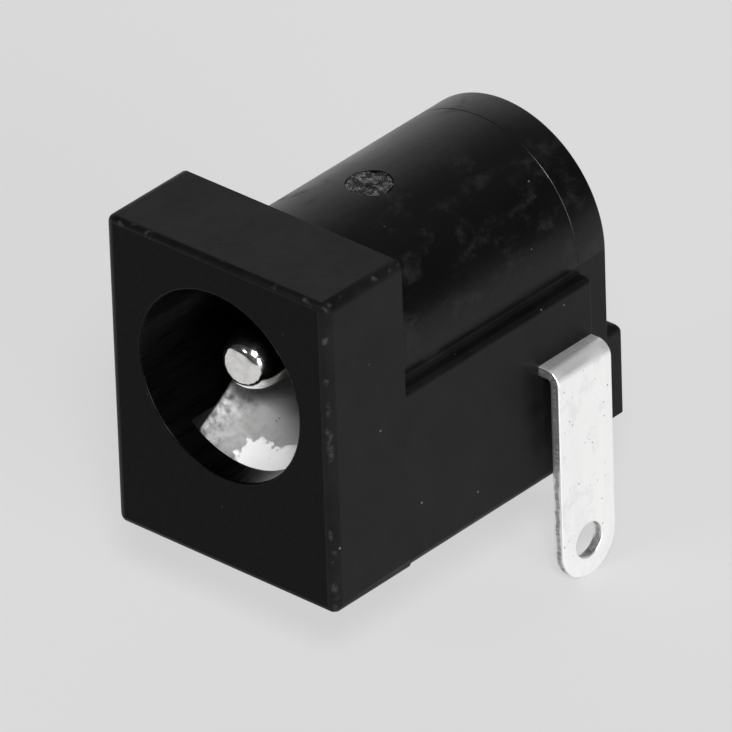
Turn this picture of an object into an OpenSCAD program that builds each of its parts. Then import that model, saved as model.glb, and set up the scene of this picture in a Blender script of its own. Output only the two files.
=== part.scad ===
// Right-angle DC power jack for a circuit board, in millimetres.
// +Y runs from the mouth to the rear, +X to the side that carries the switch tag, +Z up from the board.
// The origin is on the board, under the middle of the mouth's face.

/* [Socket] */
// Inside diameter of the socket
socket_d = 6.45; // [6.2:0.05:6.9]
// Depth of the socket from the mouth to its floor
socket_depth = 9.6; // [8.8:0.1:11]
// Height of the socket's axis above the board
axis_h = 6.5; // [6.4:0.1:8]
// Depth of the unbroken lip at the mouth, in front of the spring's pocket
lip_depth = 0.95; // [0.6:0.05:1.4]

/* [Housing] */
// Width of the flange at the mouth
flange_w = 9; // [8.8:0.1:11]
// Thickness of the flange, front to back
flange_t = 3.5; // [2:0.1:5]
// Height of the flange's top above the barrel
flange_rise = 0.55; // [0.2:0.05:1.5]
// Wall of the barrel round the socket
barrel_wall = 0.7; // [0.6:0.05:0.9]
// Thickness of the wall behind the socket's floor
rear_wall = 3.9; // [3:0.1:5]
// Radius on the upright front edges of the flange
upright_edge_r = 0.35; // [0.1:0.05:0.6]
// Radius on the top edges of the flange
top_edge_r = 0.2; // [0.1:0.05:0.5]
// Radius on the front bottom edge of the flange
bottom_edge_r = 0.2; // [0.1:0.05:0.5]
// How far the shoulders stand inside the flange's sides
shoulder_inset = 0.02; // [0.01:0.01:0.1]
// Height of the shoulders above the board
shoulder_h = 6.3; // [5.5:0.1:6.4]
// Radius on the shoulders' top edges
shoulder_edge_r = 0.2; // [0.05:0.05:0.3]
// Radius of the hollow where a shoulder meets the barrel
hollow_r = 0.15; // [0.05:0.05:0.2]
// Height of the barrel's underside above the board, behind the shoulders
rear_lift = 0.3; // [0.1:0.1:0.6]
// Depth of the block behind the rear wall
block_t = 0.7; // [0.6:0.1:1.5]
// Height of the block's top above the board
block_h = 3.5; // [2.5:0.1:4.5]
// Radius on the block's top edges
block_edge_r = 0.35; // [0.1:0.05:0.5]
// Diameter of the gate's well on top of the barrel
gate_d = 1.5; // [1:0.1:2]
// Depth of the gate's well at its middle
gate_depth = 0.14; // [0.12:0.01:0.25]
// Distance of the gate's well from the mouth
gate_y = 7.1; // [6:0.1:11]

/* [Centre pin] */
// Diameter of the pin
pin_d = 2; // [1.6:0.1:2.5]
// Distance from the mouth to the pin's tip
pin_recess = 0.95; // [0.5:0.05:2]
// Radius on the pin's tip
tip_r = 0.5; // [0.2:0.05:0.7]
// Diameter of the collar that seats on the socket's floor
collar_d = 3; // [2.6:0.1:3.6]
// Thickness of the collar
collar_t = 0.4; // [0.3:0.1:0.8]
// Diameter of the shank, through the rear wall and the terminal
shank_d = 1.56; // [1.2:0.02:1.58]
// Diameter of the riveted head
head_d = 2.3; // [1.9:0.1:2.4]
// Thickness of the riveted head
head_t = 0.28; // [0.2:0.02:0.3]

/* [Solder tags] */
// Width of each solder tag
tag_w = 2.5; // [2:0.1:3]
// Reach of each solder tag below the board's face
tag_reach = 3.5; // [2.5:0.1:5]
// Diameter of the eyelet in each solder tag
eye_d = 1.2; // [0.8:0.1:1.4]
// Sheet thickness of the pin's terminal
terminal_t = 0.4; // [0.3:0.05:0.5]

/* [Spring contact] */
// Sheet thickness of the spring
spring_t = 0.3; // [0.2:0.02:0.34]
// Width of the cupped leaf
leaf_w = 3.9; // [3.2:0.1:4.2]
// Depth of the leaf's front edge outside the socket's wall
leaf_sink = 0.1; // [0.05:0.05:0.3]
// Height of the leaf's crest inside the socket's wall
leaf_rise = 0.9; // [0.8:0.05:1]
// Distance from the mouth to the leaf's crest
crest_y = 3.3; // [2.8:0.1:4]
// Radius of the crest's bend in side view
crest_bend_r = 1.2; // [0.8:0.1:1.5]
// Length of the leaf's back, from the crest to the neck
leaf_back = 1.7; // [1.4:0.1:2.2]
// Width of the neck and the hairpin bend
neck_w = 2.4; // [1.6:0.1:2.6]
// How far the middle of the cupped leaf lies below the flat neck where they meet
neck_sink = 0.06; // [0.04:0.02:0.1]
// Height of the spring's base strip above the board
base_lift = 1.3; // [0.8:0.1:1.5]
// Distance from the mouth to the middle of the spring's solder tag
spring_tag_y = 7.7; // [6.5:0.1:8]
// Length of the ears that hold the base strip between the pocket's walls
ear_l = 1.2; // [0.6:0.1:1.4]

/* [Switch contact] */
// Sheet thickness of the switch contact
switch_t = 0.35; // [0.25:0.05:0.4]
// Height of the top of the switch arm above the board
arm_h = 4.32; // [4.2:0.02:4.4]
// Reach of the arm past the middle of the pocket
arm_over = 1; // [0:0.1:1.6]
// Gap between the shoulder and the solder tag
tag_gap = 0.43; // [0.3:0.01:0.8]
// Outside radius of the bend at the top of the solder tag
switch_bend_r = 0.5; // [0.45:0.05:0.7]

/* [Clearances] */
// Gap round pieces that are pressed or slid into the housing
fit = 0.02; // [0.01:0.01:0.04]
// Gap between the leaf and the pocket's walls and lip
leaf_clear = 0.15; // [0.1:0.05:0.3]

/* [Hidden] */
$fn = 96;
eps = 1;

socket_r = socket_d / 2;
barrel_r = socket_r + barrel_wall;
barrel_top = axis_h + barrel_r;
flange_h = barrel_top + flange_rise;
body_l = socket_depth + rear_wall;
shoulder_w = flange_w - 2 * shoulder_inset;

// Solder tags
tag_r = tag_w / 2;
eye_z = tag_r - tag_reach;
spring_bend_r = spring_t + 0.2;

// The switch arm lies behind the socket's floor, with the spring's hairpin bend under it.
arm_y0 = socket_depth + fit;
arm_y1 = arm_y0 + tag_w;
arm_bottom = arm_h - switch_t;
tag_x = shoulder_w / 2 + tag_gap + switch_t;
slot_top = arm_h + fit;
shoulder_end = arm_y1 + fit;

// The pocket in the underside holds the spring.
pocket_w = leaf_w + 2 * leaf_clear;
pocket_end = shoulder_end;
run_top = arm_bottom - fit;
hairpin_r = (run_top - base_lift) / 2;
hairpin_y = pocket_end - fit - hairpin_r;
hairpin_z = base_lift + hairpin_r;

// Radii of the leaf's upper face, measured from the socket's axis
leaf_y = lip_depth + leaf_clear / 3;
leaf_r = socket_r + leaf_sink;
crest_r = socket_r - leaf_rise;
neck_r = axis_h - run_top + neck_sink;
neck_y = crest_y + leaf_back;

// Stands an outline drawn as (across, up) on the board, from y0 to y1.
module front_view(y0, y1) {
    translate([0, y1, 0]) rotate([90, 0, 0]) linear_extrude(y1 - y0) children();
}

// Stands an outline drawn as (along, up) on the board, with its middle on the plane x = 0.
module side_view(width) {
    translate([-width / 2, 0, 0]) rotate([90, 0, 90]) linear_extrude(width) children();
}

// Turns an outline drawn as (radius, distance from the mouth) about the socket's axis.
module turned() {
    translate([0, 0, axis_h]) rotate([-90, 0, 0]) rotate_extrude() children();
}

// A rectangle between two corners, rounded all round.
module soft_rect(from, to, r) {
    size = to - from;
    translate(from + [r, 0]) square(size - [2 * r, 0]);
    translate(from + [0, r]) square(size - [0, 2 * r]);
    for (x = [from[0] + r, to[0] - r], y = [from[1] + r, to[1] - r]) translate([x, y]) circle(r);
}

// An outline that stands on the board, with one radius at its bottom corners and one at its top corners.
module standing_rect(from, to, low_r, high_r) {
    intersection() {
        soft_rect(from, to + [0, high_r + eps], low_r);
        soft_rect(from - [0, low_r + eps], to, high_r);
    }
}

// A box between two corners.
module block(from, to) {
    translate(from) cube(to - from);
}

// A straight run of sheet in side view, with its middle line from one point to another.
module sheet_run(from, to, t) {
    step = to - from;
    translate(from) rotate(atan2(step[1], step[0])) translate([0, -t / 2]) square([norm(step), t]);
}

// A bend of sheet in side view: a ring sector of outside radius r that turns from angle a by 90 degrees.
module sheet_bend(centre, r, t, a) {
    translate(centre) rotate(a) intersection() {
        difference() {
            circle(r);
            circle(r - t);
        }
        square(r + eps);
    }
}

// A solder tag in front view, from the height top down to its round end, with its eyelet.
module tag_outline(top) {
    difference() {
        union() {
            translate([-tag_r, eye_z]) square([tag_w, top - eye_z]);
            translate([0, eye_z]) circle(tag_r);
        }
        translate([0, eye_z]) circle(d = eye_d);
    }
}

// The flange: its front and top edges are rounded, and its rear face is flat.
module flange() {
    half_w = flange_w / 2;
    back = flange_t + eps;
    intersection() {
        front_view(0, flange_t) soft_rect([-half_w, -eps], [half_w, flange_h], top_edge_r);
        side_view(flange_w) standing_rect([0, 0], [back, flange_h], bottom_edge_r, top_edge_r);
        linear_extrude(flange_h) soft_rect([-half_w, 0], [half_w, back], upright_edge_r);
    }
}

// The shoulders run from the flange to the switch slot, on both sides of the barrel.
module shoulders() {
    half_w = shoulder_w / 2;
    front_view(flange_t - eps, shoulder_end)
        intersection() {
            soft_rect([-half_w, -eps], [half_w, shoulder_h], shoulder_edge_r);
            translate([-half_w, 0]) square([shoulder_w, shoulder_h]);
        }
}

// The hollow fillets where the shoulders' tops meet the barrel's sides.
module hollows() {
    front_view(flange_t, shoulder_end)
        for (side = [-1, 1])
            translate([side * barrel_r, shoulder_h])
                difference() {
                    translate([-hollow_r, -hollow_r]) square(2 * hollow_r);
                    translate([side * hollow_r, hollow_r]) circle(hollow_r);
                }
}

// The barrel: round above the axis and straight-sided below it.
module barrel() {
    front_view(flange_t - eps, body_l) {
        translate([0, axis_h]) circle(barrel_r);
        translate([-barrel_r, rear_lift]) square([2 * barrel_r, axis_h - rear_lift]);
    }
}

// The block behind the rear wall: two cheeks with the pin's terminal between them.
module rear_block() {
    difference() {
        intersection() {
            block([-barrel_r, body_l - eps, rear_lift], [barrel_r, body_l + block_t, block_h]);
            front_view(body_l - eps, body_l + block_t)
                soft_rect([-barrel_r, rear_lift - eps], [barrel_r, block_h], block_edge_r);
            side_view(2 * barrel_r)
                soft_rect([body_l - eps, rear_lift - eps], [body_l + block_t, block_h], block_edge_r);
        }
        block([-tag_r - fit, body_l, -eps], [tag_r + fit, body_l + block_t + eps, block_h + eps]);
    }
}

// What is cut out for the spring: a pocket open to the board, and its way up into the socket.
module pocket() {
    block([-pocket_w / 2, lip_depth, -eps], [pocket_w / 2, pocket_end, slot_top]);
    block([-pocket_w / 2, lip_depth, 0], [pocket_w / 2, socket_depth, axis_h]);
}

// The slot for the switch arm, through the side wall into the pocket.
module switch_slot() {
    block([0, arm_y0 - fit, arm_bottom - fit], [shoulder_w, pocket_end, slot_top]);
}

// The gate's well on top of the barrel, with the broken stub in it.
module gate_well() {
    translate([0, gate_y, barrel_top - gate_depth])
        difference() {
            cylinder(d = gate_d, h = eps);
            translate([0, 0, -eps]) cylinder(d = gate_d / 2, h = eps + gate_depth / 2);
        }
}

module housing() {
    color([0.06, 0.06, 0.065])
        difference() {
            union() {
                flange();
                shoulders();
                hollows();
                barrel();
                rear_block();
            }
            turned() translate([0, -eps]) square([socket_r, socket_depth + eps]);
            turned() square([shank_d / 2 + fit, body_l + eps]);
            pocket();
            switch_slot();
            gate_well();
        }
}

// Half a disc on the outer side of an outline that is turned about the axis.
module round_edge(centre, r) {
    translate(centre) intersection() {
        circle(r);
        translate([0, -r]) square(2 * r);
    }
}

// The pin: a round tip, a collar on the socket's floor, a thinner shank through the rear wall and a riveted head.
module centre_pin() {
    pin_r = pin_d / 2;
    tip_y = pin_recess + tip_r;
    head_y = body_l + terminal_t;
    flat_r = (head_d - head_t) / 2;
    color([0.8, 0.79, 0.76])
        turned() {
            translate([0, pin_recess]) square([pin_r - tip_r, 2 * tip_r]);
            round_edge([pin_r - tip_r, tip_y], tip_r);
            translate([0, tip_y]) square([pin_r, socket_depth - tip_y]);
            translate([0, socket_depth - collar_t]) square([collar_d / 2, collar_t]);
            translate([0, socket_depth]) square([shank_d / 2, head_y - socket_depth]);
            translate([0, head_y]) square([flat_r, head_t]);
            round_edge([flat_r, head_y + head_t / 2], head_t / 2);
        }
}

// The pin's terminal: a flat strip with round ends, held by the riveted head.
module pin_terminal() {
    color([0.82, 0.82, 0.8])
        front_view(body_l, body_l + terminal_t)
            difference() {
                union() {
                    tag_outline(axis_h);
                    translate([0, axis_h]) circle(tag_r);
                }
                translate([0, axis_h]) circle(d = shank_d + 2 * fit);
            }
}

// The lean of a straight run that touches the crest's bend, given the way from one end to the bend's centre.
function lean(way, side) = atan2(way[0], way[1]) + side * asin(crest_bend_r / norm(way));

// The direction away from the axis, square to a run with the given lean.
function away(a) = [cos(a), -sin(a)];

// The leaf in side view, drawn as (radius, distance from the mouth): up to the crest and down to the neck.
module leaf_outline() {
    centre = [crest_r + crest_bend_r, crest_y];
    front = [leaf_r, leaf_y];
    back = [neck_r, neck_y];
    front_lean = lean(centre - front, -1);
    back_lean = lean(back - centre, 1);
    steps = 10;
    leans = [for (i = [0:steps]) front_lean + (back_lean - front_lean) * i / steps];
    upper = [for (a = leans) centre - crest_bend_r * away(a)];
    lower = [for (i = [steps:-1:0]) upper[i] + spring_t * away(leans[i])];
    ends = [back + spring_t * away(back_lean), front + spring_t * away(front_lean)];
    polygon(concat([front], upper, [back, ends[0]], lower, [ends[1]]));
}

// The leaf in top view: full width past the crest, then narrowing to the neck.
module leaf_plan() {
    shoulder_y = crest_y + leaf_back / 3;
    waist_y = neck_y - leaf_back / 6;
    right = [[leaf_w / 2, 0], [leaf_w / 2, shoulder_y], [neck_w / 2, waist_y], [neck_w / 2, neck_y + eps]];
    left = [for (i = [len(right) - 1:-1:0]) [-right[i][0], right[i][1]]];
    polygon(concat(right, left));
}

// The leaf is cupped round the socket's axis.
module leaf() {
    intersection() {
        turned() leaf_outline();
        linear_extrude(axis_h) leaf_plan();
    }
}

module spring_contact() {
    tag_front = spring_tag_y - spring_t / 2;
    bend = [tag_front + spring_bend_r, base_lift + spring_t - spring_bend_r];
    top_run = run_top - spring_t / 2;
    base_run = base_lift + spring_t / 2;
    ear_y = hairpin_y - ear_l;
    color([0.85, 0.85, 0.83]) {
        leaf();
        side_view(neck_w) {
            sheet_run([neck_y - leaf_back / 4, top_run], [hairpin_y, top_run], spring_t);
            sheet_bend([hairpin_y, hairpin_z], hairpin_r, spring_t, 0);
            sheet_bend([hairpin_y, hairpin_z], hairpin_r, spring_t, -90);
        }
        side_view(tag_w) {
            sheet_run([bend[0], base_run], [hairpin_y, base_run], spring_t);
            sheet_bend(bend, spring_bend_r, spring_t, 90);
        }
        block([-pocket_w / 2, ear_y, base_lift], [pocket_w / 2, hairpin_y, base_lift + spring_t]);
        front_view(tag_front, tag_front + spring_t) tag_outline(bend[1]);
    }
}

module switch_contact() {
    bend = [tag_x - switch_bend_r, arm_h - switch_bend_r];
    color([0.85, 0.85, 0.83]) {
        block([-arm_over, arm_y0, arm_bottom], [bend[0], arm_y1, arm_h]);
        front_view(arm_y0, arm_y1) sheet_bend(bend, switch_bend_r, switch_t, 0);
        translate([tag_x - switch_t / 2, arm_y0 + tag_r, 0]) side_view(switch_t) tag_outline(bend[1]);
    }
}

housing();
centre_pin();
pin_terminal();
spring_contact();
switch_contact();
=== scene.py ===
"""The looks of a board-mounted DC barrel jack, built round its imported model."""
import math
import random

import bmesh
import bpy
from mathutils import Matrix, Vector


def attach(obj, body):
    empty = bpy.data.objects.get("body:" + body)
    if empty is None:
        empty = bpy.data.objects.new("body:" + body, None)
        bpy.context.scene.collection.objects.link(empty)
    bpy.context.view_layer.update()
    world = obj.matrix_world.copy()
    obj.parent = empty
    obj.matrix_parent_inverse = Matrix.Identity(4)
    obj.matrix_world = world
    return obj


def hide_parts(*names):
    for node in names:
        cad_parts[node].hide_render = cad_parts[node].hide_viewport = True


MM = 0.001
AXIS_Z = 6.5  # the height of the socket's axis, in millimetres
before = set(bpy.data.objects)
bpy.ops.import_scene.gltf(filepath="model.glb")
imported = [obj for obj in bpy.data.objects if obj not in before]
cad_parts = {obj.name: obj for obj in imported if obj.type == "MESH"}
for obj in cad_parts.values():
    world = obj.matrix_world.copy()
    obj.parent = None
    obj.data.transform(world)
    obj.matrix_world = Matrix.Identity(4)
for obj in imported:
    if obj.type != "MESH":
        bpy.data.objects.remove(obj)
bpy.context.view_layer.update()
scene = bpy.context.scene


# ---------------------------------------------------------------- materials
DUST = (0.16, 0.16, 0.155)


def neutral(value):
    return (value, value, value)


class Shader:
    """A Principled material with textures in the piece's own space, measured in millimetres."""

    def __init__(self, name, **sockets):
        self.mat = bpy.data.materials.new(name)
        self.mat.use_nodes = True
        self.tree = self.mat.node_tree
        self.bsdf = self.tree.nodes["Principled BSDF"]
        self.height = None
        for socket, value in sockets.items():
            self.bsdf.inputs[socket.replace("_", " ")].default_value = value
        place = self.tree.nodes.new("ShaderNodeTexCoord")
        scaled = self.node("VectorMath", {"operation": "SCALE"}, (place.outputs["Object"],), Scale=1 / MM)
        self.place = scaled.outputs[0]
        flat = self.tree.nodes.new("ShaderNodeAttribute")
        flat.attribute_name = "flat"
        self.flat = flat.outputs["Vector"]

    def put(self, socket, value):
        if isinstance(value, bpy.types.NodeSocket):
            self.tree.links.new(value, socket)
        elif value is not None:
            socket.default_value = value

    def node(self, kind, settings=None, inputs=(), **named):
        n = self.tree.nodes.new("ShaderNode" + kind)
        for key, value in (settings or {}).items():
            setattr(n, key, value)
        for i, value in enumerate(inputs):
            self.put(n.inputs[i], value)
        for key, value in named.items():
            self.put(n.inputs[key.replace("_", " ")], value)
        return n

    def stretched(self, stretch, space=None):
        return self.node("VectorMath", {"operation": "MULTIPLY"}, (space or self.place, stretch)).outputs[0]

    def noise(self, scale, detail=2, stretch=None, space=None, roughness=0.5):
        where = self.stretched(stretch, space) if stretch else (space or self.place)
        n = self.node("TexNoise", None, (where,), Scale=scale, Detail=detail, Roughness=roughness)
        return n.outputs["Fac"]

    def math(self, operation, a, b=None):
        return self.node("Math", {"operation": operation}, (a, b) if b is not None else (a,)).outputs[0]

    def span(self, value, low, high, to_low=0.0, to_high=1.0):
        """Maps value from low..high to to_low..to_high, smoothly and no further."""
        settings = {"interpolation_type": "SMOOTHSTEP"}
        return self.node("MapRange", settings, (value, low, high, to_low, to_high)).outputs[0]

    def axes(self, space=None):
        return self.node("SeparateXYZ", None, (space or self.place,)).outputs

    def blend(self, share, first, second):
        n = self.node("Mix", {"data_type": "RGBA"})
        for i, value in ((0, share), (6, first), (7, second)):
            if isinstance(value, tuple):
                value = (*value, 1)
            self.put(n.inputs[i], value)
        return n.outputs[2]

    def specks(self, scale, size, share, seed=0.0, space=None, stretch=(1, 1, 1)):
        """Scattered small spots, in a share of the cells; their size is a share of a cell."""
        where = self.stretched(stretch, space)
        offset = (seed, seed * 1.7, seed * 2.3)
        where = self.node("VectorMath", {"operation": "ADD"}, (where, offset)).outputs[0]
        n = self.node("TexVoronoi", None, (where,), Scale=scale)
        chosen = self.math("LESS_THAN", self.axes(n.outputs["Color"])[0], share)
        return self.math("MULTIPLY", self.span(n.outputs["Distance"], size * 0.5, size, 1, 0), chosen)

    def colour(self, value):
        self.put(self.bsdf.inputs["Base Color"], value)

    def rough(self, value):
        self.put(self.bsdf.inputs["Roughness"], value)

    def raise_by(self, height, depth):
        """Adds relief of the given depth in millimetres to the bump."""
        part = self.math("MULTIPLY", height, depth)
        self.height = part if self.height is None else self.math("ADD", self.height, part)

    def done(self):
        """Links the relief, and gives the material."""
        if self.height is not None:
            bump = self.node("Bump", None, (), Strength=1.0, Distance=MM, Height=self.height)
            self.put(self.bsdf.inputs["Normal"], bump.outputs[0])
        return self.mat


def matte_black():
    """The eroded faces of the mould: fine grain, dust, and small nicks along the front edges, dented in the
    bump and painted lighter as painted glints of the lights.
    """
    sh = Shader("matte_black", IOR=1.22)
    x, y, z = sh.axes()
    grain, cloud = sh.noise(14, 2), sh.noise(0.55, 4, roughness=0.6)
    streak = sh.noise(1.0, 4, (1.3, 1.3, 0.5), roughness=0.65)
    front = sh.span(y, 0.04, 0.24, 1, 0)
    top = sh.span(z, 10.7, 10.9)
    side = sh.span(sh.math("ABSOLUTE", x), 4.2, 4.42)
    beside = sh.math("MULTIPLY", side, sh.math("MAXIMUM", top, front))
    edge = sh.math("MAXIMUM", sh.math("MULTIPLY", front, top), beside)
    # Nicks on the front and side edges: real dents in the bump, and painted glints in the colour.
    nick_and_glint = sh.math("MULTIPLY", edge, sh.span(sh.noise(1.9, 4, roughness=0.6), 0.56, 0.72))
    dust = sh.math("MAXIMUM", sh.specks(0.9, 0.05, 0.22), sh.specks(2.1, 0.07, 0.10, 4.0))
    dust = sh.math("MAXIMUM", dust, sh.specks(0.5, 0.05, 0.2, 9.0, stretch=(1.0, 1.0, 0.25)))
    tone = sh.blend(sh.span(cloud, 0.3, 0.7), (0.0030, 0.0030, 0.0032), (0.0056, 0.0056, 0.0058))
    tone = sh.blend(sh.math("MULTIPLY", dust, 0.55), tone, DUST)
    # Painted glints: the nicks are painted a lighter grey.
    tone = sh.blend(sh.math("MULTIPLY", nick_and_glint, 0.8), tone, neutral(0.05))
    sh.colour(tone)
    streaks = sh.span(streak, 0.35, 0.65, -0.03, 0.04)
    sh.rough(sh.math("ADD", sh.span(cloud, 0.3, 0.7, 0.36, 0.46), streaks))
    sh.raise_by(grain, 0.004)
    sh.raise_by(streak, 0.003)
    sh.raise_by(nick_and_glint, -0.02)
    return sh.done()


def gloss_black():
    """The barrel's smoother faces: faint drag lines along the socket, hazy rubbed patches and dust."""
    sh = Shader("gloss_black", IOR=1.3)
    drag = sh.noise(1.0, 4, (3.2, 0.3, 3.2), roughness=0.6)
    cloud = sh.noise(0.5, 4, (1, 0.6, 1), roughness=0.6)
    rub = sh.span(sh.noise(1.1, 6, (1, 0.7, 1), roughness=0.72), 0.5, 0.72)
    dust = sh.math("MAXIMUM", sh.specks(1.3, 0.05, 0.2, 2.0), sh.specks(3.0, 0.09, 0.06, 6.0))
    tone = sh.blend(rub, (0.0022, 0.0022, 0.0023), (0.0095, 0.0095, 0.0098))
    sh.colour(sh.blend(sh.math("MULTIPLY", dust, 0.6), tone, DUST))
    sh.rough(sh.math("ADD", sh.span(cloud, 0.3, 0.7, 0.26, 0.34), sh.span(rub, 0, 1, 0, 0.14)))
    sh.raise_by(drag, 0.005)
    sh.raise_by(sh.noise(3.2, 4, roughness=0.6), 0.004)
    return sh.done()


def bore_black():
    """The socket's polished inside: nearly black, with lines from the mould's core and a little dust."""
    sh = Shader("bore_black", IOR=1.16)
    drag = sh.noise(1.0, 3, (5, 0.4, 5), roughness=0.6)
    dust = sh.specks(1.4, 0.06, 0.16, 3.0)
    tone = sh.blend(sh.span(drag, 0.35, 0.65), neutral(0.0006), neutral(0.0014))
    sh.colour(sh.blend(sh.math("MULTIPLY", dust, 0.35), tone, neutral(0.06)))
    sh.rough(sh.span(drag, 0.3, 0.7, 0.24, 0.34))
    sh.raise_by(drag, 0.004)
    return sh.done()


def torn_black():
    """The torn stub of the gate."""
    sh = Shader("torn_black", IOR=1.35)
    tear = sh.noise(9, 5, roughness=0.7)
    white = sh.span(sh.noise(5, 5, roughness=0.75), 0.46, 0.62)
    sh.colour(sh.blend(white, neutral(0.008), neutral(0.14)))
    sh.rough(sh.span(tear, 0.3, 0.7, 0.25, 0.6))
    sh.raise_by(tear, 0.09)
    return sh.done()


def nickel_plate():
    """Turned and plated: rings round the axis on the flat tip, fine lines round the shank, faint stains."""
    sh = Shader("nickel", Metallic=1.0)
    x, _, z = sh.axes()
    up = sh.math("SUBTRACT", z, AXIS_Z)
    radius = sh.math("SQRT", sh.math("ADD", sh.math("POWER", x, 2), sh.math("POWER", up, 2)))
    rings = sh.math("SINE", sh.math("MULTIPLY", radius, 62))
    lines = sh.noise(1.0, 2, (0.6, 14, 0.6))
    darkening = sh.noise(2.2, 4, roughness=0.6)
    sh.colour(sh.blend(sh.span(darkening, 0.35, 0.7), (0.86, 0.855, 0.84), (0.70, 0.69, 0.67)))
    sh.rough(sh.span(darkening, 0.3, 0.7, 0.10, 0.2))
    sh.raise_by(rings, 0.0006)
    sh.raise_by(lines, 0.002)
    return sh.done()


def tin_plate(name, metallic, low, high, smeared, pitted, pits=0.5, lit_patch=None):
    """Dull tin on stamped sheet: pits, rolling lines, brushed lines across them, and grey smears.

    The roughness goes from low to high. smeared and pitted are the greys of the smears and the pits.
    The last argument gives the corner (across, along) of a patch painted near-white, a painted pool of light
    with a ragged border; such a sheet is also darker towards its left side and its front end."""
    sh = Shader(name, Metallic=metallic)
    across, along, _ = sh.axes(sh.flat)
    rolled = sh.noise(1.0, 3, (7, 0.5, 1), sh.flat)
    brushed = sh.noise(1.0, 3, (0.5, 16, 1), sh.flat)
    smear = sh.noise(1.3, 5, (1, 0.7, 1), sh.flat, 0.65)
    large = sh.specks(2.4, 0.13, 0.3 * pits, 1.0, sh.flat)
    small = sh.specks(5.5, 0.2, 0.22 * pits, 5.0, sh.flat)
    pit = sh.math("MAXIMUM", large, small)
    ragged = sh.math("MULTIPLY", pit, sh.span(sh.noise(11, 2, space=sh.flat), 0.35, 0.6))
    cloud = sh.span(smear, 0.5, 0.74)
    tone = sh.blend(cloud, (0.96, 0.96, 0.955), neutral(smeared))
    rough = sh.span(smear, 0.35, 0.7, low, high)
    if lit_patch:
        # Darker towards the sheet's left side and its front end, mottled, and a little rougher there.
        drift = sh.math("MULTIPLY", sh.math("SUBTRACT", smear, 0.5), 1.4)
        left = sh.span(sh.math("ADD", across, drift), -1.75, -0.5, 1, 0)
        front = sh.span(sh.math("ADD", along, drift), 0.1, 0.7, 0.5, 0)
        mottle = sh.span(sh.noise(4.2, 5, space=sh.flat, roughness=0.6), 0.3, 0.7, 0.6, 1)
        darkening = sh.math("MULTIPLY", sh.math("MAXIMUM", left, front), mottle)
        tone = sh.blend(darkening, tone, neutral(0.07))
        rough = sh.math("ADD", rough, sh.math("MULTIPLY", darkening, 0.1))
        # The near-white patch on the leaf's front is a painted pool of light, with a ragged border; it is also
        # rougher and hardly metallic.
        border = sh.noise(2.6, 4, space=sh.flat, roughness=0.6)
        wander = sh.math("MULTIPLY", sh.math("SUBTRACT", border, 0.5), 1.3)
        side = sh.span(sh.math("ADD", across, wander), lit_patch[0] - 0.06, lit_patch[0] + 0.06)
        end = sh.span(sh.math("ADD", along, wander), lit_patch[1] - 0.1, lit_patch[1] + 0.1, 1, 0)
        white = sh.math("MULTIPLY", side, end)
        tone = sh.blend(white, tone, (0.99, 0.99, 0.985))
        rough = sh.math("ADD", rough, sh.math("MULTIPLY", white, 0.2))
        sh.put(sh.bsdf.inputs["Metallic"], sh.span(white, 0, 1, metallic, 0.1))
    sh.colour(sh.blend(ragged, tone, neutral(pitted)))
    sh.rough(sh.math("ADD", rough, sh.span(brushed, 0.3, 0.7, -0.04, 0.05)))
    sh.raise_by(rolled, 0.004)
    sh.raise_by(brushed, 0.004)
    sh.raise_by(smear, 0.010)
    sh.raise_by(ragged, -0.02)
    return sh.done()


def sheared_edge():
    """A cut side of the sheet: a burnished line at each face and a torn, darker core."""
    sh = Shader("sheared_edge", Metallic=0.95)
    depth = sh.axes(sh.flat)[2]
    wander = sh.math("MULTIPLY", sh.math("SUBTRACT", sh.noise(3.0, 3, space=sh.flat), 0.5), 0.16)
    core = sh.span(sh.math("ABSOLUTE", sh.math("ADD", depth, wander)), 0.045, 0.115, 1, 0)
    tear = sh.noise(1.0, 4, (9, 9, 3), sh.flat, 0.7)
    tone = sh.blend(sh.span(tear, 0.3, 0.7), neutral(0.22), (0.55, 0.55, 0.545))
    sh.colour(sh.blend(core, (0.82, 0.82, 0.81), tone))
    sh.rough(sh.span(core, 0, 1, 0.3, 0.55))
    sh.raise_by(sh.math("MULTIPLY", tear, core), 0.03)
    sh.raise_by(core, -0.015)
    return sh.done()


matte = matte_black()
gloss = gloss_black()
bore_face = bore_black()
torn = torn_black()
nickel = nickel_plate()
leaf_tin = tin_plate("leaf_tin", 0.72, 0.34, 0.46, 0.62, 0.3, 0.5, (-0.5, 1.05))
tag_tin = tin_plate("tag_tin", 0.8, 0.34, 0.46, 0.8, 0.25, 0.8)
terminal_tin = tin_plate("terminal_tin", 0.8, 0.4, 0.55, 0.7, 0.3)
sheared = sheared_edge()


# ---------------------------------------------------------------- modelling, in millimetres
def make(name, verts, faces):
    mesh = bpy.data.meshes.new(name)
    mesh.from_pydata([tuple(v) for v in verts], [], faces)
    ob = bpy.data.objects.new(name, mesh)
    scene.collection.objects.link(ob)
    return ob


def settle(ob):
    """Applies the object's modifiers."""
    bpy.context.view_layer.update()
    solid = bpy.data.meshes.new_from_object(ob.evaluated_get(bpy.context.evaluated_depsgraph_get()))
    ob.modifiers.clear()
    ob.data = solid
    return ob


def loft(name, loops):
    """A closed solid through loops of as many points each, capped at both ends."""
    n = len(loops[0])
    verts = [v for loop in loops for v in loop]
    faces = [tuple(range(n)), tuple(range(len(verts) - 1, len(verts) - n - 1, -1))]
    for k in range(len(loops) - 1):
        for i in range(n):
            j = (i + 1) % n
            faces.append((k * n + i, k * n + n + i, k * n + n + j, k * n + j))
    ob = make(name, verts, faces)
    outward(ob)
    return ob


def outward(ob):
    bm = bmesh.new()
    bm.from_mesh(ob.data)
    bmesh.ops.recalc_face_normals(bm, faces=bm.faces)
    bm.to_mesh(ob.data)
    bm.free()


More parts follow.
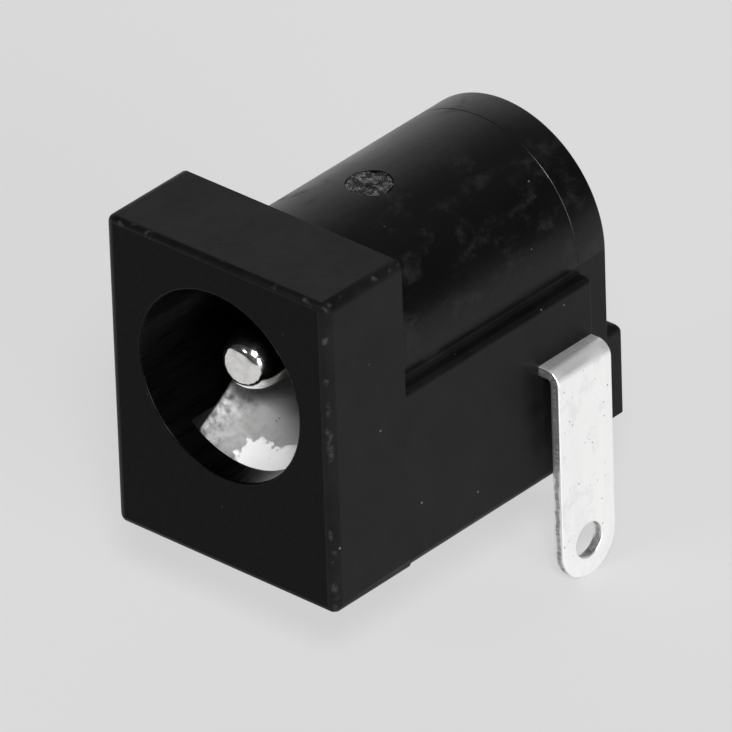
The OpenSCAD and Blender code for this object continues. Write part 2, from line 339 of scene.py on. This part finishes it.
def weld(ob, distance=0.0012):
    bm = bmesh.new()
    bm.from_mesh(ob.data)
    bmesh.ops.remove_doubles(bm, verts=bm.verts, dist=distance)
    bmesh.ops.dissolve_degenerate(bm, edges=bm.edges, dist=distance)
    bm.to_mesh(ob.data)
    bm.free()


def combine(ob, tools, operation):
    for tool in tools:
        step = ob.modifiers.new("cut", "BOOLEAN")
        step.operation, step.solver, step.object = operation, "EXACT", tool
        settle(ob)
        weld(ob)
    for tool in tools:
        bpy.data.objects.remove(tool)
    return ob


def rounded_box(name, low, high, radius, segments=6):
    """A box whose edges have their own radii, from radius(x, y, z) of -1, 0 or 1 for an edge's middle."""
    low, high = Vector(low), Vector(high)
    bm = bmesh.new()
    bmesh.ops.create_cube(bm, size=2)
    weight = bm.edges.layers.float.new("bevel_weight_edge")
    radii = {e: radius(*(round(c) for c in (e.verts[0].co + e.verts[1].co) / 2)) for e in bm.edges}
    top = max(radii.values())
    for e, r in radii.items():
        e[weight] = r / top
    for v in bm.verts:
        v.co = Vector((low + high) / 2) + Vector(a * b / 2 for a, b in zip(v.co, high - low))
    ob = make(name, [], [])
    bm.to_mesh(ob.data)
    bm.free()
    bevel = ob.modifiers.new("edges", "BEVEL")
    bevel.limit_method, bevel.width, bevel.segments = "WEIGHT", top, segments
    bevel.use_clamp_overlap = False
    return settle(ob)


def turned(name, outline, steps=160):
    """A solid turned about the socket's axis from points (radius, y); both ends are on the axis."""
    verts, faces = [], []
    inner = outline[1:-1]
    for r, y in inner:
        for k in range(steps):
            a = math.tau * k / steps
            verts.append((r * math.cos(a), y, AXIS_Z + r * math.sin(a)))
    first, last = len(verts), len(verts) + 1
    verts += [(0, outline[0][1], AXIS_Z), (0, outline[-1][1], AXIS_Z)]
    for i in range(len(inner) - 1):
        for k in range(steps):
            j = (k + 1) % steps
            faces.append((i * steps + k, (i + 1) * steps + k, (i + 1) * steps + j, i * steps + j))
    end = (len(inner) - 1) * steps
    for k in range(steps):
        j = (k + 1) % steps
        faces.append((first, k, j))
        faces.append((last, end + j, end + k))
    ob = make(name, verts, faces)
    outward(ob)
    return ob


def arc(cx, cy, r, start, stop, steps):
    """Points on an arc, angles in degrees."""
    angles = [math.radians(start + (stop - start) * k / steps) for k in range(steps + 1)]
    return [(cx + r * math.cos(a), cy + r * math.sin(a)) for a in angles]


def circle(cx, cy, r, steps):
    angles = [math.tau * k / steps for k in range(steps)]
    return [(cx + r * math.cos(a), cy + r * math.sin(a)) for a in angles]


def finish_piece(ob, materials, slot, angle=32):
    """Scales a piece to metres, shades it smooth up to the angle and lets it ride."""
    ob.data.transform(Matrix.Scale(MM, 4))
    index = [min(f.material_index, len(materials) - 1) for f in ob.data.polygons]
    ob.data.materials.clear()
    for mat in materials:
        ob.data.materials.append(mat)
    ob.data.polygons.foreach_set("material_index", index)
    ob.data.shade_smooth()
    ob.data.set_sharp_from_angle(angle=math.radians(angle))
    normals = ob.modifiers.new("normals", "WEIGHTED_NORMAL")
    normals.keep_sharp, normals.weight = True, 100
    settle(ob)
    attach(ob, "root")
    return ob


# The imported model's sizes, in millimetres: _W is half a width, _H a height, _END a distance from the mouth.
SOCKET_R, SOCKET_END, BARREL_R = 3.225, 9.6, 3.925
FLANGE_W, FLANGE_T, FLANGE_H = 4.5, 3.5, 10.975
SHOULDER_W, SHOULDER_H, SHOULDER_END = 4.48, 6.3, 12.14
BODY_END, BLOCK_END, BLOCK_H, REAR_LIFT = 13.5, 14.2, 3.5, 0.3
LIP, POCKET_W = 0.95, 2.1
SLOT_LOW, SLOT_TOP = 3.93, 4.34
GATE_Y, GATE_R = 7.1, 0.76
TAG_R, EYE_R, TAG_LOW, EYE_Z = 1.25, 0.6, -3.5, -2.25

# Edge radii and small forms that only this script has.
SHOULDER_TOP_R, SHOULDER_LOW_R, SHOULDER_HOLLOW = 0.2, 0.4, 0.16
MOUTH_R, SOCKET_FLOOR_R, CHEEK_R = 0.07, 0.12, 0.3
MARK_R, MARK_X, MARK_Z = 0.6, 2.45, 8.3
OVERLAP = 0.012  # keeps the faces of pieces that are cut or joined out of each other's planes


def shoulder_loop(y, inset):
    """Both shoulders and what joins them inside the barrel, seen from the front."""
    w, h, hollow = SHOULDER_W - inset, SHOULDER_H - inset, SHOULDER_HOLLOW
    r, low = SHOULDER_TOP_R - inset, SHOULDER_LOW_R - inset
    side = arc(w - low, inset + low, low, 270, 360, 8) + arc(w - r, h - r, r, 0, 90, 6)
    side += arc(BARREL_R + hollow, h + hollow, hollow, 270, 190, 6)
    side += [(BARREL_R - 0.06, h + hollow), (BARREL_R - 0.5, h + hollow)]
    points = side + [(-x, z) for x, z in reversed(side)]
    return [(x, y, z) for x, z in points]


def barrel_loop(y, inset):
    r = BARREL_R - inset
    points = [(r, REAR_LIFT + inset)] + arc(0, AXIS_Z, r, 0, 180, 120) + [(-r, REAR_LIFT + inset)]
    return [(x, y, z) for x, z in points]


def end_edge(y, r, steps=4):
    """(distance, inset) pairs that round an end at y by the radius r."""
    angles = [math.radians(90 * k / steps) for k in range(steps + 1)]
    return [(y - r + r * math.sin(a), r - r * math.cos(a)) for a in angles]


def flange_radius(x, y, z):
    """The radii of the flange's edges: the front ones are round, the rear ones are nearly sharp."""
    if y > 0:
        return 0.04 if z >= 0 else 0
    if y < 0:
        return 0.35 if z == 0 else 0.22
    return 0.36 if z > 0 else 0.42


def footprint(z, x0, x1, y0, y1, r):
    """A rounded rectangle that lies at the height z."""
    pts = arc(x1 - r, y1 - r, r, 0, 90, 4) + arc(x0 + r, y1 - r, r, 90, 180, 4)
    pts += arc(x0 + r, y0 + r, r, 180, 270, 4) + arc(x1 - r, y0 + r, r, 270, 360, 4)
    return [(x, y, z) for x, y in pts]


def pocket_cutters():
    """The pocket for the spring: its flared way in from below, its main room and its way up into the socket."""
    def level(z, grow, back):
        return footprint(z, -POCKET_W - grow, POCKET_W + grow, LIP - grow, back + grow, 0.12)

    way_in = [(-0.6, 0.3), (-OVERLAP, 0.05), (OVERLAP, 0.02), (0.05, 0.004), (0.31, 0.004)]
    return [loft("way_in", [level(z, g, SHOULDER_END + 0.4) for z, g in way_in]),
            loft("room", [level(z, 0, SHOULDER_END + 0.02) for z in (0.2, SLOT_TOP)]),
            loft("way_up", [level(z, -0.003, SOCKET_END) for z in (0.25, AXIS_Z)])]


def cheek(side):
    """One of the two blocks behind the rear wall, with a rounded top."""
    low, high = sorted((side * 1.27, side * (BARREL_R - OVERLAP)))
    start, corner, r = BODY_END - 0.6, 0.13, CHEEK_R
    loops = [footprint(REAR_LIFT + OVERLAP, low, high, start, BLOCK_END, corner)]
    for a in (math.radians(15 * k) for k in range(7)):
        inset = r - r * math.cos(a)
        z = BLOCK_H - r + r * math.sin(a)
        loops.append(footprint(z, low + inset, high - inset, start + inset, BLOCK_END - inset, corner))
    return loft("cheek", loops)


def build_housing():
    """The whole moulding: flange, shoulders, barrel and rear blocks joined, then every opening cut."""
    ob = rounded_box("housing_shell", (-FLANGE_W, 0, 0), (FLANGE_W, FLANGE_T, FLANGE_H), flange_radius, 8)
    stations = [(2.6, 0)] + end_edge(SHOULDER_END, 0.05)
    shoulders = loft("shoulders", [shoulder_loop(y, i) for y, i in stations])
    line = SHOULDER_END + 0.03  # the witness line round the barrel
    rings = [(2.4, 0), (line, 0), (line + 0.012, 0.014), (line + 0.035, 0.014), (line + 0.05, 0.003)]
    barrel = loft("barrel", [barrel_loop(y, i) for y, i in rings + end_edge(BODY_END, 0.07)])
    combine(ob, [shoulders, barrel, cheek(-1), cheek(1)], "UNION")
    mouth = arc(SOCKET_R + MOUTH_R, MOUTH_R, MOUTH_R, 180, 262, 5)
    mouth = [(SOCKET_R + 0.4, -0.4), (SOCKET_R + 0.11, -0.03)] + mouth[::-1]
    floor_edge = arc(SOCKET_R - SOCKET_FLOOR_R, SOCKET_END - SOCKET_FLOOR_R, SOCKET_FLOOR_R, 0, 90, 4)
    bore = turned("bore", [(0, -0.4)] + mouth + floor_edge + [(0, SOCKET_END)])
    hole = turned("hole", [(0, 9), (0.8, 9), (0.8, 14), (0, 14)], 48)
    slot_low, slot_high = (0.5, SOCKET_END - 0.01, SLOT_LOW), (6, SHOULDER_END + 0.013, SLOT_TOP - 0.007)
    slot = rounded_box("slot", slot_low, slot_high, lambda x, y, z: 0.03, 2)
    ring = circle(0, GATE_Y, GATE_R, 48)
    well = loft("well", [[(x, y, z) for x, y in ring] for z in (BARREL_R + AXIS_Z - 0.13, 12)])
    marks = [ejector_mark(x) for x in (-MARK_X, MARK_X)]
    combine(ob, [bore, hole, slot, well] + pocket_cutters() + marks, "DIFFERENCE")
    return ob


def ejector_mark(x):
    """The shallow round mark that an ejector pin leaves on the rear wall."""
    levels = ((BODY_END - 0.03, 0), (BODY_END - 0.006, 0), (BODY_END + 0.02, 0.03))
    return loft("mark", [[(a, y, b) for a, b in circle(x, MARK_Z, MARK_R + grow, 48)] for y, grow in levels])


class Fold:
    """The middle line of folded sheet: corners (u, v, radius) in the plane of the fold, rounded by arcs."""

    def __init__(self, corners):
        points = [Vector(c[:2]) for c in corners]
        self.parts, self.bends, here, s = [], [], points[0], 0
        for i in range(1, len(corners) - 1):
            way_in = (points[i] - points[i - 1]).normalized()
            way_out = (points[i + 1] - points[i]).normalized()
            turn = math.atan2(way_in.x * way_out.y - way_in.y * way_out.x, way_in.dot(way_out))
            r = corners[i][2]
            back = r * math.tan(abs(turn) / 2)
            start = points[i] - way_in * back
            self.parts.append((s, here, way_in, 0))
            s += (start - here).length
            self.parts.append((s, start, way_in, math.copysign(1 / r, turn)))
            self.bends.append((s, s + r * abs(turn)))
            s += r * abs(turn)
            here = points[i] + way_out * back
        self.parts.append((s, here, (points[-1] - here).normalized(), 0))
        self.length = s + (points[-1] - here).length

    def at(self, s):
        """The point at the distance s, and the direction there."""
        part = [p for p in self.parts if p[0] <= s + 1e-9][-1] if s > 0 else self.parts[0]
        start, point, way, bend = part
        s -= start
        if not bend:
            return point + way * s, way
        side = Vector((-way.y, way.x))
        a = bend * s
        there = point + way * (math.sin(a) / bend) + side * ((1 - math.cos(a)) / bend)
        return there, way * math.cos(a) + side * math.sin(a)


def plate(name, outlines, thickness, edge=0.045):
    """A flat blank with rounded edges, from outlines of (across, along) points: outside first, then holes."""
    curve = bpy.data.curves.new(name, "CURVE")
    curve.dimensions, curve.fill_mode = "2D", "BOTH"
    for points in outlines:
        spline = curve.splines.new("POLY")
        spline.points.add(len(points) - 1)
        for p, (x, s) in zip(spline.points, points):
            p.co = (x, s, 0, 1)
        spline.use_cyclic_u = True
    curve.extrude, curve.bevel_depth, curve.offset = thickness / 2 - edge, edge, -edge
    curve.bevel_resolution = 2
    shape = bpy.data.objects.new(name + "_curve", curve)
    scene.collection.objects.link(shape)
    bpy.context.view_layer.update()
    mesh = bpy.data.meshes.new_from_object(shape.evaluated_get(bpy.context.evaluated_depsgraph_get()))
    bpy.data.objects.remove(shape)
    ob = bpy.data.objects.new(name, mesh)
    scene.collection.objects.link(ob)
    weld(ob, 0.0008)
    outward(ob)
    return ob


def folded(name, outlines, thickness, place, along=(), across=()):
    """Cuts a blank into strips where it bends, gives its sheared sides the second material and bends it.

    The flat blank's own coordinates stay on it as the attribute "flat", which the materials read."""
    ob = plate(name, outlines, thickness)
    bm = bmesh.new()
    bm.from_mesh(ob.data)
    for axis, cuts in ((1, along), (0, across)):
        normal = Vector((axis == 0, axis == 1, 0))
        for c in cuts:
            everything = bm.verts[:] + bm.edges[:] + bm.faces[:]
            bmesh.ops.bisect_plane(bm, geom=everything, dist=1e-5, plane_co=normal * c, plane_no=normal)
    for face in bm.faces:
        face.material_index = 1 if abs(face.normal.z) < 0.3 else 0
    flat = bm.verts.layers.float_vector.new("flat")
    for v in bm.verts:
        v[flat] = v.co
        v.co = place(*v.co)
    bmesh.ops.remove_doubles(bm, verts=bm.verts, dist=0.0008)
    bmesh.ops.recalc_face_normals(bm, faces=bm.faces)
    bm.to_mesh(ob.data)
    bm.free()
    return ob


def strips(start, stop, width):
    """Evenly spaced places from start to stop, no further apart than width."""
    n = max(1, math.ceil((stop - start) / width))
    return [start + (stop - start) * k / n for k in range(n + 1)]


def tag_end(s_eye, start):
    """The round end of a solder tag, from its side at start, round to the other side, and its eyelet."""
    end = [(TAG_R, start)] + arc(0, s_eye, TAG_R, 0, 180, 40) + [(-TAG_R, start)]
    return end, arc(0, s_eye, EYE_R, 0, 360, 40)[:-1]


def build_switch():
    """The switch contact: its arm lies in the slot, and its tag hangs outside the wall."""
    t, y_mid = 0.35, 10.87
    fold = Fold([(-1, 4.145), (5.085, 4.145, 0.325), (5.085, TAG_LOW)])
    s_eye = fold.length - TAG_R
    end, eye = tag_end(s_eye, 0)

    def place(x, s, n):
        at, way = fold.at(s)
        return at.x - way.y * n, y_mid + x, at.y + way.x * n

    s0, s1 = fold.bends[0]
    return folded("switch_tag", [end, eye], t, place, strips(s0, s1, 0.06))


def build_terminal():
    """The flat strip on the rear wall, with the hole for the pin's shank."""
    t, y_mid, hole_r = 0.4, 13.7, 0.79
    round_top = arc(0, 0, TAG_R, 180, 360, 40)
    end, eye = tag_end(AXIS_Z - EYE_Z, 0)
    hole = arc(0, 0, hole_r, 0, 360, 40)[:-1]
    outlines = [round_top[1:-1] + end[1:-1], eye, hole]
    return folded("pin_strip", outlines, t, lambda x, s, n: (x, y_mid + n, AXIS_Z - s))


def build_spring():
    """The leaf is cupped round the socket's axis, and the cup runs out along the neck."""
    t, back, neck_z, base_z, tag_y = 0.3, 11.97, 3.8, 1.45, 7.7
    fold = Fold([(1.05, 3.03), (3.1245, 4.0598, 1.05), (5.0, neck_z, 2.4), (back, neck_z, 1.175),
                 (back, base_z, 1.175), (tag_y, base_z, 0.35), (tag_y, TAG_LOW)])
    crest, neck, top, low, foot = fold.bends
    wide, narrow, ear = 1.95, 1.2, POCKET_W - 0.015
    s_side, s_neck, s_ear = crest[1] + 0.42, crest[1] + 1.28, low[1] + 1.2
    s_eye = fold.length - TAG_R
    end, eye = tag_end(s_eye, s_ear + 0.08)
    half = arc(wide - 0.18, 0.18, 0.18, -90, 0, 6) + [(wide, s_side), (wide - 0.06, s_side + 0.09)]
    half += [(narrow + 0.08, s_neck - 0.06), (narrow, s_neck), (narrow, low[1] - 0.1)]
    half += [(narrow + 0.05, low[1]), (ear, low[1]), (ear, s_ear), (TAG_R + 0.04, s_ear)]
    outline = half + end + [(-x, s) for x, s in reversed(half)]

    def cup(s):
        """How much of the cup is there, from 1 on the leaf to 0 on the neck."""
        k = min(1, max(0, (s - crest[1] - 0.2) / 2.6))
        return 1 - k * k * (3 - 2 * k)

    def place(x, s, n):
        at, way = fold.at(s)
        y, z = at.x - way.y * n, at.y + way.x * n
        share = cup(s)
        if share > 0:
            middle = AXIS_Z - at.y
            a = math.asin(min(1, abs(x) / middle)) * (1 if x > 0 else -1)
            r = AXIS_Z - z
            x += share * (r * math.sin(a) - x)
            z += share * (AXIS_Z - r * math.cos(a) - z)
        return x, y, z

    along = strips(0.2, crest[0], 0.2) + strips(*crest, 0.05) + strips(crest[1], neck[1] + 1.6, 0.14)
    along += strips(*top, 0.1) + strips(*low, 0.1) + strips(*foot, 0.05)
    across = [wide * k / 14 for k in range(-13, 14)]
    return folded("spring_leaf", [outline, eye], t, place, sorted(set(along)), across)


def build_pin():
    """The pin with its domed tip; the tip stands a little off the axis, as the photographed one does."""
    tip, flat, r = 0.97, 0.45, 1.0
    tip_left, tip_up, held_at = 0.1, 0.22, 9.2
    outline = [(0, tip), (flat - 0.05, tip)]
    dome = [math.radians(d) for d in range(4, 91, 4)]
    outline += [(flat + (r - flat) * math.sin(a), tip + 1 - math.cos(a)) for a in dome]
    outline += [(r, 4), (r, 7)] + arc(r + 0.06, 9.14, 0.06, 180, 90, 4)
    outline += arc(1.45, 9.25, 0.05, -90, 0, 4) + arc(1.45, 9.54, 0.05, 0, 90, 4)
    outline += [(0.78, 9.592), (0.78, 13.89), (0.9, 13.902)]
    outline += arc(1.02, 14.02, 0.118, -80, 90, 10)
    outline += [(0.8, 14.17), (0.55, 14.185), (0.3, 14.19), (0.2, 14.185), (0.12, 14.14), (0, 14.13)]
    ob = turned("pin", outline, 128)
    for v in ob.data.vertices:
        lean = max(0, 1 - v.co.y / held_at)
        v.co.x -= tip_left * lean
        v.co.z += tip_up * lean
    return ob


def build_scar():
    """The rough stub that the broken gate leaves in its well: a low mound of torn plastic."""
    rng = random.Random(11)
    rings, steps, outer_r, highest = 9, 40, 0.742, 0.128
    low = BARREL_R + AXIS_Z - 0.135
    verts, faces = [], []
    for k in range(1, rings + 1):
        r = outer_r * k / rings
        for j in range(steps):
            a = math.tau * j / steps
            bump = 0.05 * math.sin(3 * a + 1.0) * (k / rings) + 0.035 * math.sin(7 * a + 2.1 * k)
            lip = 0.10 * math.exp(-((r - 0.56) / 0.16) ** 2) * (0.7 + 0.5 * math.sin(a * 2 + 0.7))
            pit = -0.05 * math.exp(-((r - 0.12) / 0.16) ** 2)
            h = 0.05 + lip + pit + bump * 0.5 + rng.uniform(-0.014, 0.014)
            if k == rings:
                h = 0.07 + 0.045 * math.sin(5 * a) + 0.02 * math.sin(11 * a + 1)
            h = max(-0.02, min(h, highest))
            verts.append((r * math.cos(a), GATE_Y + r * math.sin(a), low + h))
    for k in range(rings - 1):
        for j in range(steps):
            m = (j + 1) % steps
            faces.append((k * steps + j, (k + 1) * steps + j, (k + 1) * steps + m, k * steps + m))
    top, base = len(verts), len(verts) + 1
    verts += [(0, GATE_Y, low + 0.01), (0, GATE_Y, low - 0.03)]
    last = (rings - 1) * steps
    for j in range(steps):
        m = (j + 1) % steps
        faces.append((top, j, m))
        faces.append((base, last + m, last + j))
    ob = make("gate_scar", verts, faces)
    outward(ob)
    return ob


def polish(ob):
    """Gives the barrel the second material of the housing, and the socket the third."""
    for face in ob.data.polygons:
        c = face.center / MM
        from_axis = math.hypot(c.x, c.z - AXIS_Z)
        behind_flange = c.y > FLANGE_T + 0.01 and c.z > AXIS_Z - 0.1
        if behind_flange and abs(from_axis - BARREL_R) < 0.12 and face.normal.y < 0.5:
            face.material_index = 1
        elif from_axis < SOCKET_R + 0.04 and c.y < SOCKET_END + 0.02:
            face.material_index = 2


housing = finish_piece(build_housing(), [matte, gloss, bore_face], "black_moulding")
polish(housing)
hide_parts("housing")
finish_piece(build_scar(), [torn], "black_moulding", 25)
for build, node, mats, slot in (
        (build_pin, "centre_pin", [nickel], "pin_plating"),
        (build_terminal, "pin_terminal", [terminal_tin, sheared], "tag_plating"),
        (build_spring, "spring_contact", [leaf_tin, sheared], "spring_plating"),
        (build_switch, "switch_contact", [tag_tin, sheared], "tag_plating")):
    piece = finish_piece(build(), mats, slot)
    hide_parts(node)

# ---------------------------------------------------------------- stage
FLOOR_SIDE = 4  # half the floor's width, in metres
ROOM = 0.035  # the light that comes from everywhere

# Soft lights far away, as (azimuth, elevation, full within, gone beyond, strength). The angles are in
# degrees, and azimuth 0 is in front of the mouth, with 90 at the side of the switch tag.
LIGHTS = [
    (-135, 12, 10, 45, 0.72),
    (180, 55, 10, 40, 0.17),
    (68, 14, 8, 16, 17),
    (-12, 34, 5, 7, 9),
    (45, 43, 5, 8, 62),
]


def floor():
    """A pale floor at the tags' lower ends, which gives off most of its brightness itself."""
    side, z = FLOOR_SIDE, TAG_LOW * MM
    mesh = bpy.data.meshes.new("floor")
    corners = [(-side, -side, z), (side, -side, z), (side, side, z), (-side, side, z)]
    mesh.from_pydata(corners, [], [(0, 1, 2, 3)])
    ob = bpy.data.objects.new("floor", mesh)
    scene.collection.objects.link(ob)
    sh = Shader("floor", Base_Color=(0.14, 0.14, 0.14, 1), Roughness=1, Specular_IOR_Level=0,
                Emission_Color=(1, 1, 1, 1), Emission_Strength=0.575)
    mesh.materials.append(sh.mat)


def sky():
    """The world: the room's even light and the lights in it."""
    world = bpy.data.worlds.new("studio")
    world.use_nodes = True
    nodes, links = world.node_tree.nodes, world.node_tree.links
    at = nodes.new("ShaderNodeTexCoord")
    total = None
    for azimuth, elevation, inner, outer, strength in LIGHTS:
        a, e = math.radians(azimuth), math.radians(elevation)
        dot = nodes.new("ShaderNodeVectorMath")
        dot.operation = "DOT_PRODUCT"
        links.new(at.outputs["Generated"], dot.inputs[0])
        dot.inputs[1].default_value = (math.sin(a) * math.cos(e), -math.cos(a) * math.cos(e), math.sin(e))
        ramp = nodes.new("ShaderNodeMapRange")
        ramp.interpolation_type = "SMOOTHSTEP"
        links.new(dot.outputs["Value"], ramp.inputs["Value"])
        ramp.inputs["From Min"].default_value = math.cos(math.radians(outer))
        ramp.inputs["From Max"].default_value = math.cos(math.radians(inner))
        ramp.inputs["To Min"].default_value = 0
        ramp.inputs["To Max"].default_value = strength
        if total is None:
            total = ramp.outputs[0]
        else:
            add = nodes.new("ShaderNodeMath")
            links.new(total, add.inputs[0])
            links.new(ramp.outputs[0], add.inputs[1])
            total = add.outputs[0]
    add = nodes.new("ShaderNodeMath")
    links.new(total, add.inputs[0])
    add.inputs[1].default_value = ROOM
    links.new(add.outputs[0], nodes["Background"].inputs["Strength"])
    nodes["Background"].inputs["Color"].default_value = (1, 1, 1, 1)
    scene.world = world


floor()
sky()
scene.view_settings.view_transform = "Standard"

# ---------------------------------------------------------------- camera, as fitted to the photograph
AZIMUTH, ELEVATION, ROLL = math.radians(42.2407), math.radians(31.3839), math.radians(-1.9692)
TARGET, DISTANCE, SHIFT_RIGHT, SHIFT_UP = Vector((0, 5, 5)), 489.82, 1.13, -0.1254
IMAGE_WIDTH, FOCAL_LENGTH = 732, 16000  # both in the photograph's pixels
SENSOR_WIDTH = 36  # in millimetres
flat_x, flat_y = -math.sin(AZIMUTH) * math.cos(ELEVATION), math.cos(AZIMUTH) * math.cos(ELEVATION)
forward = Vector((flat_x, flat_y, -math.sin(ELEVATION)))
level = Vector((math.cos(AZIMUTH), math.sin(AZIMUTH), 0))
upright = level.cross(forward)
right = math.cos(ROLL) * level + math.sin(ROLL) * upright
up = -math.sin(ROLL) * level + math.cos(ROLL) * upright
eye = TARGET + right * SHIFT_RIGHT + up * SHIFT_UP - forward * DISTANCE
lens = bpy.data.cameras.new("camera")
lens.sensor_width = SENSOR_WIDTH
lens.lens = FOCAL_LENGTH / IMAGE_WIDTH * SENSOR_WIDTH
lens.clip_start, lens.clip_end = 0.01, 10
camera = bpy.data.objects.new("camera", lens)
scene.collection.objects.link(camera)
camera.matrix_world = Matrix.Translation(eye * MM) @ Matrix((right, up, -forward)).transposed().to_4x4()
scene.camera = camera
